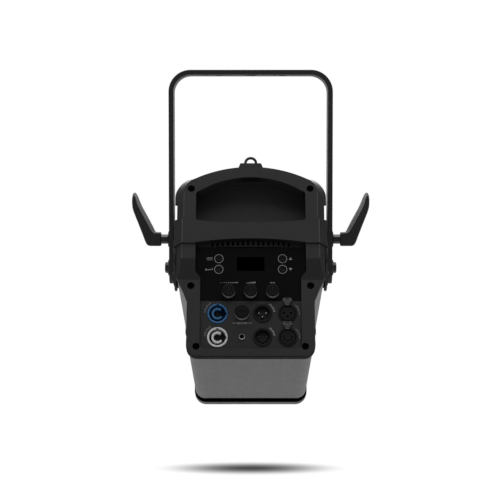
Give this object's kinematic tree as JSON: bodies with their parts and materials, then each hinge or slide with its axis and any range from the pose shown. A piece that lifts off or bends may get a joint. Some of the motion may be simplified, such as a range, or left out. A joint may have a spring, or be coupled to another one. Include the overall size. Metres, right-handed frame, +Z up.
{
  "type": "ellipsoidal spotlight",
  "caption": "Compact LED ellipsoidal stage spotlight on a flat-bar yoke, with a handled rear control frame, ribbed housing, framing shutters and a focusing lens tube.",
  "frame": {"origin": "bottom centre of the whole light's box, hung with its yoke upright and its body tipped 21 degrees nose-down", "axes": "+Z up through the yoke's top face; +Y towards the beam's side; +X to the right seen from the rear control panel"},
  "size_m": [0.2954, 0.5814, 0.4558],
  "materials": {
    "yoke_paint": "fine satin black powder coat over steel",
    "body_paint": "fine satin black powder coat over aluminium",
    "moulding": "finely grained black glass-filled plastic",
    "extrusion": "black anodised, finely ribbed extrusion",
    "panel": "black printed overlay, low gloss",
    "plate": "dark grey textured coat",
    "control": "black soft-touch plastic",
    "window": "smoked display window",
    "blue_socket": "blue moulded mains inlet",
    "grey_socket": "light grey moulded mains outlet",
    "socket_black": "black moulded signal connector",
    "black_hardware": "black zinc-plated steel",
    "bare_steel": "bare stainless steel",
    "nickel": "satin nickel",
    "bare_aluminium": "bare machined aluminium",
    "board": "white solder-masked LED board",
    "clear_glass": "polished clear glass"
  },
  "bodies": {
    "yoke_assembly": {"yoke": "yoke_paint", "pivot_bolt_left": "black_hardware", "pivot_bolt_right": "black_hardware", "clamp_stud_left": "black_hardware", "clamp_stud_right": "black_hardware"},
    "lamp_body": {"safety_loop": "black_hardware", "frame_screw_top_left": "black_hardware", "frame_screw_top_right": "black_hardware", "frame_screw_middle_left": "black_hardware", "frame_screw_middle_right": "black_hardware", "frame_screw_bottom_left": "black_hardware", "frame_screw_bottom_right": "black_hardware", "rear_frame": "moulding", "hand_pocket": "moulding", "vent_grille": "moulding", "tilt_plate_left": "body_paint", "tilt_plate_right": "body_paint", "front_cap": "body_paint", "gate_ring": "body_paint", "housing_extrusion": "extrusion", "control_panel": "panel", "connector_plate": "plate", "fan_frame": "control", "display_window": "window", "power_inlet": "blue_socket", "power_outlet": "grey_socket", "signal_input_3pin": "socket_black", "signal_input_5pin": "socket_black", "signal_output_3pin": "socket_black", "signal_output_5pin": "socket_black", "service_jack": "nickel", "heat_sink": "bare_aluminium", "power_supply": "bare_aluminium", "led_board": "board", "condenser_lens": "clear_glass"},
    "clamp_lever_left": {"clamp_lever_left": "moulding"},
    "clamp_lever_right": {"clamp_lever_right": "moulding"},
    "button_menu": {"button_menu": "control"},
    "button_enter": {"button_enter": "control"},
    "button_up": {"button_up": "control"},
    "button_down": {"button_down": "control"},
    "knob_left": {"knob_left": "control"},
    "knob_middle": {"knob_middle": "control"},
    "knob_right": {"knob_right": "control"},
    "fuse_cap": {"fuse_cap": "control"},
    "release_tab_3pin": {"release_tab_3pin": "nickel"},
    "release_tab_5pin": {"release_tab_5pin": "nickel"},
    "fan_rotor": {"fan_rotor": "control"},
    "shutter_barrel": {"shutter_barrel": "body_paint"},
    "shutter_top": {"shutter_top": "bare_steel"},
    "shutter_right": {"shutter_right": "bare_steel"},
    "shutter_bottom": {"shutter_bottom": "bare_steel"},
    "shutter_left": {"shutter_left": "bare_steel"},
    "focus_knob": {"focus_knob": "control"},
    "accessory_clip": {"accessory_clip": "bare_steel"},
    "gobo_slot_cover": {"gobo_slot_cover": "body_paint"},
    "lens_tube": {"lens_tube": "body_paint", "front_lens": "clear_glass", "rear_lens": "clear_glass", "accessory_holder": "body_paint"}
  },
  "joints": [
    {"name": "tilt", "type": "hinge", "parent": "yoke_assembly", "child": "lamp_body", "pos_m": [0, -0.16741, 0.21062], "axis": [1, 0, 0], "range_deg": [-69, 66]},
    {"name": "clamp_left_turn", "type": "hinge", "parent": "yoke_assembly", "child": "clamp_lever_left", "pos_m": [-0.1, -0.16741, 0.24622], "axis": [1, 0, 0], "range_deg": [-90, 90]},
    {"name": "clamp_right_turn", "type": "hinge", "parent": "yoke_assembly", "child": "clamp_lever_right", "pos_m": [0.1, -0.16741, 0.24622], "axis": [1, 0, 0], "range_deg": [-90, 90]},
    {"name": "button_menu_press", "type": "slide", "parent": "lamp_body", "child": "button_menu", "axis": [0, 0.9336, -0.3584], "range_m": [0, 0.0012], "stiffness_N_per_m": 900},
    {"name": "button_enter_press", "type": "slide", "parent": "lamp_body", "child": "button_enter", "axis": [0, 0.9336, -0.3584], "range_m": [0, 0.0012], "stiffness_N_per_m": 900},
    {"name": "button_up_press", "type": "slide", "parent": "lamp_body", "child": "button_up", "axis": [0, 0.9336, -0.3584], "range_m": [0, 0.0012], "stiffness_N_per_m": 900},
    {"name": "button_down_press", "type": "slide", "parent": "lamp_body", "child": "button_down", "axis": [0, 0.9336, -0.3584], "range_m": [0, 0.0012], "stiffness_N_per_m": 900},
    {"name": "knob_left_turn", "type": "hinge", "parent": "lamp_body", "child": "knob_left", "pos_m": [-0.026, -0.26008, 0.18771], "axis": [0, 0.9336, -0.3584], "continuous": true},
    {"name": "knob_middle_turn", "type": "hinge", "parent": "lamp_body", "child": "knob_middle", "pos_m": [0, -0.26008, 0.18771], "axis": [0, 0.9336, -0.3584], "continuous": true},
    {"name": "knob_right_turn", "type": "hinge", "parent": "lamp_body", "child": "knob_right", "pos_m": [0.026, -0.26008, 0.18771], "axis": [0, 0.9336, -0.3584], "continuous": true},
    {"name": "fuse_cap_turn", "type": "hinge", "parent": "lamp_body", "child": "fuse_cap", "pos_m": [-0.0103, -0.26929, 0.16371], "axis": [0, 0.9336, -0.3584], "range_deg": [-45, 0]},
    {"name": "release_tab_3pin_press", "type": "slide", "parent": "lamp_body", "child": "release_tab_3pin", "axis": [0, 0.9336, -0.3584], "range_m": [0, 0.0015], "stiffness_N_per_m": 1200},
    {"name": "release_tab_5pin_press", "type": "slide", "parent": "lamp_body", "child": "release_tab_5pin", "axis": [0, 0.9336, -0.3584], "range_m": [0, 0.0015], "stiffness_N_per_m": 1200},
    {"name": "fan_spin", "type": "hinge", "parent": "lamp_body", "child": "fan_rotor", "pos_m": [0, -0.1871, 0.24388], "axis": [0, 0.9336, -0.3584], "continuous": true},
    {"name": "barrel_turn", "type": "hinge", "parent": "lamp_body", "child": "shutter_barrel", "pos_m": [0, 0.02826, 0.16229], "axis": [0, 0.9336, -0.3584], "range_deg": [-25, 25]},
    {"name": "shutter_top_slide", "type": "slide", "parent": "shutter_barrel", "child": "shutter_top", "axis": [0, -0.3584, -0.9336], "range_m": [0, 0.022]},
    {"name": "shutter_right_slide", "type": "slide", "parent": "shutter_barrel", "child": "shutter_right", "axis": [-1, 0, 0], "range_m": [0, 0.022]},
    {"name": "shutter_bottom_slide", "type": "slide", "parent": "shutter_barrel", "child": "shutter_bottom", "axis": [0, 0.3584, 0.9336], "range_m": [0, 0.022]},
    {"name": "shutter_left_slide", "type": "slide", "parent": "shutter_barrel", "child": "shutter_left", "axis": [1, 0, 0], "range_m": [0, 0.022]},
    {"name": "focus_slide", "type": "slide", "parent": "shutter_barrel", "child": "lens_tube", "axis": [0, 0.9336, -0.3584], "range_m": [-0.008, 0.018]},
    {"name": "focus_knob_turn", "type": "hinge", "parent": "lens_tube", "child": "focus_knob", "pos_m": [0, 0.09669, 0.05033], "axis": [0, 0.3584, 0.9336], "range_deg": [-180, 180]},
    {"name": "accessory_clip_lift", "type": "hinge", "parent": "lens_tube", "child": "accessory_clip", "pos_m": [0, 0.26792, 0.15877], "axis": [1, 0, 0], "range_deg": [0, 95]},
    {"name": "gobo_cover_lift", "type": "hinge", "parent": "shutter_barrel", "child": "gobo_slot_cover", "pos_m": [0, 0.05844, 0.2169], "axis": [1, 0, 0], "range_deg": [0, 100]}
  ]
}
